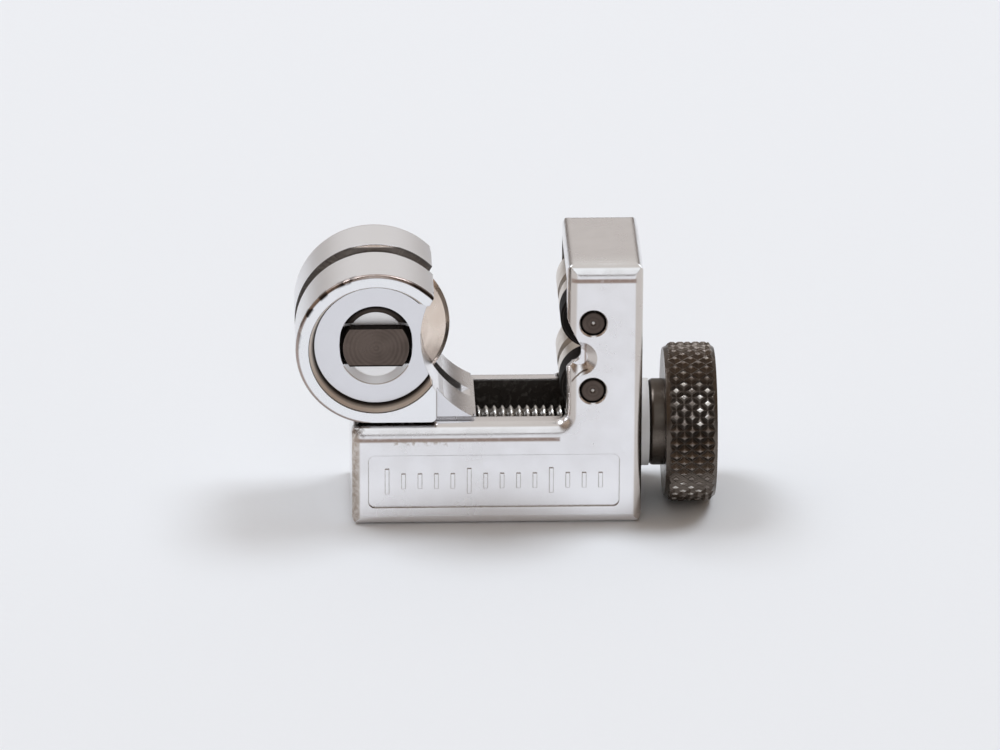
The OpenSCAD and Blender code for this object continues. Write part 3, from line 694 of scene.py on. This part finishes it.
def makeSliderMetal(look, marks):
    material, tree, shader, place, colour, rolled, blotches, wear = castBase("sliderCast", look)
    centred = centredOn(tree, place, wheelCentre, (1, 0, 1))
    alongX, alongY, alongZ = splitVector(tree, place)
    depth = mathNode(tree, "ABSOLUTE", alongY)
    rise = mathNode(tree, "SUBTRACT", alongZ, wheelCentre.z)
    wall = rolled.outputs["Wall"]

    def inBox(name):
        return boxMask(tree, place, *marks[name])

    def inRing(name, vector=centred):
        return ringMask(tree, vector, *marks[name])

    def shifted(distance):
        return centredOn(tree, place, (wheelCentre.x, 0, wheelCentre.z + distance), (1, 0, 1))
    # painted reflection on the roundings that face sideways
    edges = product(tree, rolled.outputs["Mask"], marks["rolledShare"])
    colour = paint(tree, colour, edges, look["rolled"])
    # painted light and shade: the rim painted brighter, the sunken face painted darker
    colour = paint(tree, colour, between(tree, depth, *marks["faceBand"]), marks["sunkenFaceShade"])
    outside = product(tree, inRing("rim"), wall)
    addSatin(tree, shader, outside, look["satin"])
    # painted light on the rim's outside and front
    outside = largest(tree, outside, spread(tree, depth, *marks["rimFront"]))
    colour = paint(tree, colour, outside, marks["rimLight"])
    # painted reflection as a brown line along the rim's outer edge, with dark burrs on the left and
    # a dark lip on the right
    rimEdge = product(tree, inRing("rimEdge"), spread(tree, depth, *marks["lineFront"]))
    line = product(tree, rimEdge, spread(tree, blotches, *marks["lineBreaks"]),
                   inverse(tree, inBox("footArea")), marks["lineShare"])
    colour = paint(tree, colour, line, look["line"])
    patches = noiseValue(tree, place, marks["burrScale"])
    burrRing = inRing("burrRing")
    for box in marks["burrs"]:
        burr = product(tree, burrRing, boxMask(tree, place, *box),
                       spread(tree, patches, *marks["burrBreaks"]))
        colour = paint(tree, colour, burr, look["grease"])
    colour = paint(tree, colour, product(tree, rimEdge, inBox("lip")), marks["black"])
    colour = paint(tree, colour, inBox("footEnd"), look["bareAndShade"])
    # painted shade and reflection on the pocket's wall: black beside the face, then brown and
    # beige, and a line at the rim
    pocket = product(tree, inRing("pocket"), wall, spread(tree, depth, *marks["pocketFront"]))
    black = largest(tree, inRing("pocketBlack"), inRing("pocketLine"))
    tone = mixColour(tree, inRing("pocketBrown"), marks["beige"], marks["brown"])
    colour = paint(tree, colour, pocket, mixColour(tree, black, tone, marks["black"]))
    addSatin(tree, shader, pocket, marks["pocketSatin"])
    # painted light and shade in the dish round the pin: a painted shadow above, painted shade black
    # at both sides, painted light below with a thin outline
    within = inRing("dish")
    slope = product(tree, within, between(tree, depth, *marks["slopeBand"]))
    colour = paint(tree, colour, slope, marks["rimLight"])
    # painted light on the dish's floor
    dishFloor = product(tree, within, fade(tree, depth, *marks["floorEnd"]))
    colour = paint(tree, colour, dishFloor, marks["dishFloor"])
    addSatin(tree, shader, largest(tree, slope, dishFloor), marks["dishSatin"])
    upperTone = mixColour(tree, inRing("dishUpper", shifted(marks["dishShift"])),
                          marks["brown"], marks["black"])
    upper = product(tree, slope, spread(tree, rise, *marks["dishTop"]))
    colour = paint(tree, colour, upper, upperTone)
    beside = product(tree, slope, between(tree, rise, *marks["besidePin"]))
    colour = paint(tree, colour, beside, marks["black"])
    outline = product(tree, inRing("dishOutline", shifted(-marks["dishShift"])), within,
                      fade(tree, rise, *marks["outlineTop"]),
                      fade(tree, depth, *marks["outlineFront"]), marks["outlineShare"])
    colour = paint(tree, colour, outline, look["wornAndShade"])
    # painted shade in the gap round the pin's head
    seat = product(tree, inRing("seat"), fade(tree, depth, *marks["seatEnd"]))
    colour = paint(tree, colour, seat, marks["black"])
    # grease and painted shade in the wheel's slot
    colour = addGreaseAndShade(tree, shader, place, colour, look, [marks["slot"]])
    tree.links.new(colour, shader.inputs["Base Color"])
    return material


turnedSizes = {"ringTone": 0.14, "grainShare": 0.35, "grainSize": 0.12, "wearRadius": 0.00012}

turnedLooks = {
    "wheelSteel": {
        "colour": (0.91, 0.80, 0.71), "shade": (0.84, 0.72, 0.62), "edge": (0.62, 0.53, 0.46),
        "edgeRing": (10.15 * mm, 10.6 * mm, 0.0002), "edgeShare": 0.4,
        "rough": (0.22, 0.32), "pitch": 0.16, "depth": 0.000005,
    },
    "pinSteel": {
        "colour": (0.135, 0.105, 0.09), "shade": (0.085, 0.066, 0.056), "edge": (0.40, 0.35, 0.31),
        "side": (0.018, 0.015, 0.013), "edgeShare": 0.5,
        "gaps": ((2.80 * mm, 0.06 * mm), (-2.66 * mm, 0.10 * mm)),    # height and half the width
        "gapPlace": -8.6 * mm, "gapHalf": (8 * mm, 1.4 * mm), "gapSoftness": 0.00006,
        "endRim": (1.50 * mm, 2.4 * mm, 0.00015),
        "dimple": (0.0, 0.20 * mm, 0.00008), "dimpleHighlight": (0.95, 0.93, 0.90),
        "rough": (0.26, 0.40), "pitch": 0.55, "depth": 0.00003,
    },
    "rollerSteel": {
        "colour": (0.74, 0.69, 0.63), "shade": (0.60, 0.54, 0.48), "edge": (0.30, 0.27, 0.24),
        "side": (0.012, 0.010, 0.009), "edgeShare": 0.6,
        "landPlace": (-8.0 * mm, 25 * mm), "landHalf": (8 * mm, 4.4 * mm, 20 * mm),
        "landSoftness": 0.0002,
        "rough": (0.25, 0.36), "pitch": 0.3, "depth": 0.000006,
    },
    "screwSteel": {
        "colour": (0.16, 0.15, 0.14), "shade": (0.08, 0.075, 0.07), "edge": (0.66, 0.65, 0.63),
        "crest": (2.36 * mm, 2.6 * mm, 0.00015),
        "rough": (0.2, 0.34), "pitch": 0.25, "depth": 0.00001,
    },
    "knobSteel": {
        "colour": (0.16, 0.135, 0.115), "shade": (0.09, 0.076, 0.064), "edge": (0.27, 0.235, 0.21),
        "tips": (10.98 * mm, 11.4 * mm, 0.00008), "tipShare": 0.7,
        "glint": (0.80, 0.77, 0.72), "glintScale": 190.0, "glintRange": (0.52, 0.58),
        "rough": (0.22, 0.34), "pitch": 0.22, "depth": 0.000012,
    },
}


def turnedBase(name, look, centre, flat):
    material, tree, shader, place = newMaterial(name)
    centred = centredOn(tree, place, centre, flat)
    rings = useGroup(tree, latheRings, {"Vector": centred}, {"Pitch": look["pitch"]})
    grain = useGroup(tree, castGrain, {"Vector": place}, {"Grain Size": turnedSizes["grainSize"]})
    wear = useGroup(tree, edgeWear, {"Vector": place}, {"Radius": turnedSizes["wearRadius"]})
    marked = mathNode(tree, "ADD", grain.outputs["Tone"],
                      product(tree, rings.outputs["Height"], turnedSizes["ringTone"]))
    colour = mixColour(tree, spread(tree, marked, *toneRange), look["shade"], look["colour"])
    low, high = look["rough"]
    tree.links.new(spread(tree, grain.outputs["Tone"], *toneRange, high, low),
                   shader.inputs["Roughness"])
    shader.inputs["Metallic"].default_value = 1.0
    height = mathNode(tree, "ADD", rings.outputs["Height"],
                      product(tree, grain.outputs["Height"], turnedSizes["grainShare"]))
    addBump(tree, shader, height, look["depth"], wear.outputs["Normal"])
    return material, tree, shader, place, centred, colour, wear


def makeWheelMetal(look):
    material, tree, shader, place, centred, colour, wear = turnedBase(
        "wheelSteel", look, wheelCentre, (1, 0, 1))
    edge = product(tree, ringMask(tree, centred, *look["edgeRing"]), look["edgeShare"])
    tree.links.new(paint(tree, colour, edge, look["edge"]), shader.inputs["Base Color"])
    return material


def makePinMetal(name, look, centre):
    material, tree, shader, place, centred, colour, wear = turnedBase(name, look, centre, (1, 0, 1))
    wall = useGroup(tree, rolledEdge, {}).outputs["Wall"]
    endFace = inverse(tree, wall)
    colour = mixColour(tree, endFace, look["side"], colour)
    rubbed = product(tree, wear.outputs["Mask"], endFace, look["edgeShare"])
    colour = paint(tree, colour, rubbed, look["edge"])
    addMattBlack(tree, shader, wall)
    # painted shade in the gaps over and under the flats
    for height, half in look["gaps"]:
        gap = boxMask(tree, place, (centre.x, look["gapPlace"], centre.z + height),
                      (*look["gapHalf"], half), look["gapSoftness"])
        colour = paint(tree, colour, gap, look["side"])
    tree.links.new(colour, shader.inputs["Base Color"])
    return material


def makeRollerPinMetal(name, look, centre):
    material, tree, shader, place, centred, colour, wear = turnedBase(name, look, centre, (1, 0, 1))
    colour = paint(tree, colour, ringMask(tree, centred, *look["endRim"]), look["side"])
    # painted highlight in the centre dimple
    colour = paint(tree, colour, ringMask(tree, centred, *look["dimple"]), look["dimpleHighlight"])
    tree.links.new(colour, shader.inputs["Base Color"])
    return material


def makeRollerMetal(look):
    material, tree, shader, place, centred, colour, wear = turnedBase(
        "rollerSteel", look, upperRoller, (0, 1, 0))
    endFace = inverse(tree, useGroup(tree, rolledEdge, {}).outputs["Wall"])
    colour = paint(tree, colour, endFace, look["side"])
    # painted shade: the front land is painted black, and only its rim is rubbed
    frontLand = boxMask(tree, place, (upperRoller.x, *look["landPlace"]), look["landHalf"],
                        look["landSoftness"])
    colour = paint(tree, colour, frontLand, look["side"])
    addMattBlack(tree, shader, largest(tree, frontLand, endFace))
    rubbed = product(tree, wear.outputs["Mask"], endFace, look["edgeShare"])
    tree.links.new(paint(tree, colour, rubbed, look["edge"]), shader.inputs["Base Color"])
    return material


def makeScrewMetal(look):
    material, tree, shader, place, centred, colour, wear = turnedBase(
        "screwSteel", look, screwAxis, (0, 1, 1))
    # painted highlights on the thread's crests
    colour = paint(tree, colour, ringMask(tree, centred, *look["crest"]), look["edge"])
    tree.links.new(colour, shader.inputs["Base Color"])
    return material


def makeKnobMetal(look):
    material, tree, shader, place, centred, colour, wear = turnedBase(
        "knobSteel", look, screwAxis, (0, 1, 1))
    # tips of the knurl are rubbed, and patches of them get painted glints
    tips = ringMask(tree, centred, *look["tips"])
    colour = paint(tree, colour, product(tree, tips, look["tipShare"]), look["edge"])
    patches = noiseValue(tree, place, look["glintScale"])
    bright = product(tree, tips, spread(tree, patches, *look["glintRange"]))
    tree.links.new(paint(tree, colour, bright, look["glint"]), shader.inputs["Base Color"])
    return material


nylonLook = {
    "colour": (0.98, 0.97, 0.95), "shade": (0.94, 0.93, 0.91), "cloudScale": 380.0,
    "rough": (0.42, 0.55), "scatter": 0.15, "scatterRadius": (0.0008, 0.0008, 0.0007),
    "grainScale": 4200.0, "grainDepth": 0.00001,
}


def makeNylon(look):
    material, tree, shader, place = newMaterial("nylon")
    cloud = noiseValue(tree, place, look["cloudScale"])
    tree.links.new(mixColour(tree, cloud, look["shade"], look["colour"]),
                   shader.inputs["Base Color"])
    low, high = look["rough"]
    tree.links.new(spread(tree, cloud, *toneRange, high, low), shader.inputs["Roughness"])
    shader.inputs["Subsurface Weight"].default_value = look["scatter"]
    shader.inputs["Subsurface Radius"].default_value = look["scatterRadius"]
    addBump(tree, shader, noiseValue(tree, place, look["grainScale"]), look["grainDepth"])
    return material


frameMetal = makeFrameMetal(castLook, frameMarks)
sliderMetal = makeSliderMetal(castLook, headMarks)
wheelMetal = makeWheelMetal(turnedLooks["wheelSteel"])
wheelPinMetal = makePinMetal("wheelPinSteel", turnedLooks["pinSteel"], wheelCentre)
upperPinMetal = makeRollerPinMetal("upperPinSteel", turnedLooks["pinSteel"], upperRoller)
lowerPinMetal = makeRollerPinMetal("lowerPinSteel", turnedLooks["pinSteel"], lowerRoller)
rollerMetal = makeRollerMetal(turnedLooks["rollerSteel"])
screwMetal = makeScrewMetal(turnedLooks["screwSteel"])
knobMetal = makeKnobMetal(turnedLooks["knobSteel"])
nylon = makeNylon(nylonLook)

nodeLooks = {
    "frame": frameMetal, "slider": sliderMetal, "cutter_wheel": wheelMetal,
    "wheel_pin": wheelPinMetal, "wheel_pin_clip": wheelPinMetal,
    "upper_roller": rollerMetal, "lower_roller": rollerMetal,
    "upper_roller_pin": upperPinMetal, "lower_roller_pin": lowerPinMetal,
    "feed_screw": screwMetal, "screw_clip": screwMetal, "clip_washer": screwMetal,
    "thrust_washer": nylon, "knob": knobMetal,
}
for nodeName, nodeObject in frame["nodes"].items():
    dress(nodeObject, nodeLooks[nodeName])
print("materials built:", len(bpy.data.materials))


# Knurled knob: a turned body cut out of a bar with a diamond knurl

knobSizes = {
    "diamonds": 36,             # round the rim
    "diamondLength": 2.1667 * mm,
    "rootDepth": 0.5 * mm,      # from the knob's radius to the bottom of the grooves
    "flankWidth": 0.56 * mm,
    "tipRise": 0.55 * mm,
    "hubRadius": 6.05 * mm, "hubLength": 2.1 * mm, "hubRound": 0.7 * mm,
    "chamfer": 0.5 * mm,        # over the knurl, after a smooth edge at both ends
    "edgeRise": 0.25 * mm,
    "innerSlope": 1.8, "outerSlope": 1.5, "outerEdge": 0.7,    # from an end, in chamfers
    "faceRadius": 8.6 * mm, "faceDepth": 0.5 * mm, "rivetRadius": 3.2 * mm,
    "segments": 144, "roundSteps": 8, "smoothAngle": 28,
}


def knurledBar(sizes, x0, x1, radius):
    root = radius - sizes["rootDepth"]
    middle = (x0 + sizes["hubLength"] + x1) / 2    # of the part that shows a knurl
    rows = 2 * math.ceil((middle - x0) / sizes["diamondLength"] + 0.3)
    length = rows * sizes["diamondLength"]
    deselectAll()
    bpy.ops.mesh.primitive_cylinder_add(
        vertices=sizes["diamonds"], radius=root, depth=length, end_fill_type="NGON",
        location=(middle, 0, screwAxis.z), rotation=(0, math.pi / 2, 0))
    bar = bpy.context.active_object
    applyPlace(bar)

    def isLong(edge):
        start, end = edgeEnds(bar, edge)
        return abs(start.x - end.x) > length / 2
    selectParts(bar, "EDGE", isLong)
    bpy.ops.mesh.subdivide(number_cuts=rows - 1)
    selectParts(bar, "FACE", lambda face: abs(face.normal.x) < 0.5)
    bpy.ops.mesh.poke()
    # what is left of the square grid lies along X or in a plane of equal X
    step = length / rows

    def isGrid(edge):
        lines = [(end.x - middle + length / 2) / step for end in edgeEnds(bar, edge)]
        whole = all(abs(line - round(line)) < 0.1 for line in lines)
        return whole and 0.1 < sum(lines) / 2 < rows - 0.1
    selectParts(bar, "EDGE", isGrid)
    bpy.ops.mesh.dissolve_edges(use_verts=False)
    selectParts(bar, "FACE", lambda face: abs(face.normal.x) < 0.5 and len(face.vertices) == 4)
    bpy.ops.mesh.inset(thickness=sizes["flankWidth"], depth=sizes["tipRise"],
                       use_individual=True, use_even_offset=True)
    bpy.ops.object.mode_set(mode="OBJECT")
    closeSeams(bar)
    return bar


def makeKnob(sizes):
    radius = (knobHigh.z - knobLow.z) / 2
    x0, x1 = knobLow.x, knobHigh.x
    rimX = x0 + sizes["hubLength"]
    hub, turn, steps = sizes["hubRadius"], sizes["hubRound"], sizes["roundSteps"]
    angles = [i * math.pi / (2 * steps) for i in range(steps + 1)]
    shoulder = [(x0 + turn * (1 - math.cos(a)), hub - turn * (1 - math.sin(a))) for a in angles]
    face = sizes["faceRadius"]
    chamfer = sizes["chamfer"]
    root = radius - chamfer
    edge = root - sizes["edgeRise"]
    profile = shoulder + [
        (rimX, hub),
        (rimX, edge),
        (rimX + chamfer, root),
        (rimX + sizes["innerSlope"] * chamfer, radius),
        (x1 - sizes["outerSlope"] * chamfer, radius),
        (x1 - sizes["outerEdge"] * chamfer, root),
        (x1, edge),
        (x1, face),
        (x1 - sizes["faceDepth"], face - sizes["faceDepth"]),
        (x1 - sizes["faceDepth"], sizes["rivetRadius"]),
    ]
    body = turnedPiece("knurled_knob", profile, sizes["segments"])
    bar = knurledBar(sizes, x0, x1, radius)
    cut = body.modifiers.new("knurl", "BOOLEAN")
    cut.operation = "INTERSECT"
    cut.solver = "EXACT"
    cut.object = bar
    applyModifier(body, cut)
    bpy.data.objects.remove(bar)
    closeSeams(body)
    smoothByAngle(body, sizes["smoothAngle"])
    dress(body, knobMetal)
    return body


knob = makeKnob(knobSizes)
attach(knob, "screw")
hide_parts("knob")
print("knob cut:", len(knob.data.polygons), "faces")


# Feed screw: the solid's own surface, merged and smoothed

screwSizes = {"mergeDistance": 2e-6, "smoothAngle": 32}


def makeFeedScrew(sizes):
    source = frame["nodes"]["feed_screw"]
    piece = bpy.data.objects.new("threaded_screw", source.data.copy())
    bpy.context.scene.collection.objects.link(piece)
    closeSeams(piece, sizes["mergeDistance"])
    smoothByAngle(piece, sizes["smoothAngle"])
    dress(piece, screwMetal)
    return piece


feedScrew = makeFeedScrew(screwSizes)
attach(feedScrew, "screw")
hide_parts("feed_screw")
print("feed screw smoothed")


# Stage: floor, world, lamps and camera

floorSizes = {
    "side": 9.0, "height": -0.00002, "colour": (0.82, 0.84, 0.86), "rough": 0.9, "specular": 0.1,
    "grain": (500.0, 3.0), "grainDepth": 0.00005,
}


def makeFloor(sizes):
    deselectAll()
    bpy.ops.mesh.primitive_plane_add(size=sizes["side"], location=(0, 0, sizes["height"]))
    floor = bpy.context.active_object
    floor.name = "floor"
    applyPlace(floor)
    material, tree, shader, place = newMaterial("paleTable")
    shader.inputs["Base Color"].default_value = (*sizes["colour"], 1)
    shader.inputs["Roughness"].default_value = sizes["rough"]
    shader.inputs["Specular IOR Level"].default_value = sizes["specular"]
    addBump(tree, shader, noiseValue(tree, place, *sizes["grain"]), sizes["grainDepth"])
    dress(floor, material)


# Colours of the sky, and the parts of the direction over which one passes into the next
skyLook = {
    "behind": (0.58, 0.54, 0.51), "front": (0.95, 0.97, 0.99), "frontRange": (0.22, 0.55),
    "frontSide": (0.16, 0.105, 0.068),
    "frontSideAside": (0.12, 0.30), "frontSideFront": (-0.05, 0.15),
    "aside": (0.40, 0.31, 0.24), "asideRange": (0.45, 0.80),
    "low": (0.09, 0.065, 0.05), "lowStart": (-0.03, 0.0), "lowEnd": (0.10, 0.22),
}


def makeWorld(look):
    world = bpy.data.worlds.new("studio")
    bpy.context.scene.world = world
    world.use_nodes = True
    tree = world.node_tree
    background = tree.nodes["Background"]
    direction = tree.nodes.new("ShaderNodeTexCoord").outputs["Generated"]
    right, back, up = splitVector(tree, direction)
    # beige behind and overhead, white in front, brown to both sides, and a dark band all round
    # just above the horizon
    front = product(tree, back, -1.0)
    aside = mathNode(tree, "ABSOLUTE", right)
    sky = mixColour(tree, spread(tree, front, *look["frontRange"]), look["behind"], look["front"])
    frontSide = product(tree, spread(tree, aside, *look["frontSideAside"]),
                        spread(tree, front, *look["frontSideFront"]))
    sky = paint(tree, sky, frontSide, look["frontSide"])
    sky = paint(tree, sky, spread(tree, aside, *look["asideRange"]), look["aside"])
    low = product(tree, spread(tree, up, *look["lowStart"]), fade(tree, up, *look["lowEnd"]))
    sky = paint(tree, sky, low, look["low"])
    tree.links.new(sky, background.inputs["Color"])
    background.inputs["Strength"].default_value = 1.0


lampSizes = {
    "places": {"left": (-1.00, 0.55, 2.20), "right": (1.00, 0.55, 2.20)},
    "target": (0, 0, 0.018), "side": 0.9, "power": 23.0, "colour": (0.86, 0.92, 1.0),
}


def makeLamps(sizes):
    target = Vector(sizes["target"])
    for name, place in sizes["places"].items():
        data = bpy.data.lights.new(name, "AREA")
        data.shape = "SQUARE"
        data.size = sizes["side"]
        data.energy = sizes["power"]
        data.color = sizes["colour"]
        holder = bpy.data.objects.new(name, data)
        bpy.context.scene.collection.objects.link(holder)
        holder.location = place
        holder.rotation_mode = "QUATERNION"
        holder.rotation_quaternion = (target - holder.location).to_track_quat("-Z", "Y")


cameraSizes = {
    "azimuth": -2.0, "elevation": 22.0, "roll": 0.25,     # degrees
    "pixelsPerMm": 7.2, "imageWidth": 1000,
    "anchor": (-20.1 * mm, -10.0 * mm, 0.0),   # the front left corner of the frame's bottom
    "anchorRight": 20.464 * mm, "anchorUp": 21.06 * mm,   # from there to the image's centre
    "lens": 300.0, "clipShare": 0.05, "clipEnd": 50,
}


def makeCamera(sizes):
    turn, rise = math.radians(sizes["azimuth"]), math.radians(sizes["elevation"])
    back = Vector((math.sin(turn) * math.cos(rise), -math.cos(turn) * math.cos(rise),
                   math.sin(rise)))
    right = Vector((math.cos(turn), math.sin(turn), 0))
    up = right.cross(-back)
    aim = Vector(sizes["anchor"]) + right * sizes["anchorRight"] + up * sizes["anchorUp"]
    data = bpy.data.cameras.new("camera")
    data.lens = sizes["lens"]
    width = sizes["imageWidth"] / sizes["pixelsPerMm"] * mm
    distance = width * data.lens / data.sensor_width
    camera = bpy.data.objects.new("camera", data)
    bpy.context.scene.collection.objects.link(camera)
    camera.location = aim + back * distance
    camera.rotation_mode = "QUATERNION"
    facing = (-back).to_track_quat("-Z", "Y")
    camera.rotation_quaternion = facing @ Quaternion((0, 0, 1), math.radians(sizes["roll"]))
    data.clip_start, data.clip_end = distance * sizes["clipShare"], sizes["clipEnd"]
    bpy.context.scene.camera = camera


makeFloor(floorSizes)
makeWorld(skyLook)
makeLamps(lampSizes)
makeCamera(cameraSizes)
bpy.context.scene.view_settings.view_transform = "Standard"
print("stage set")
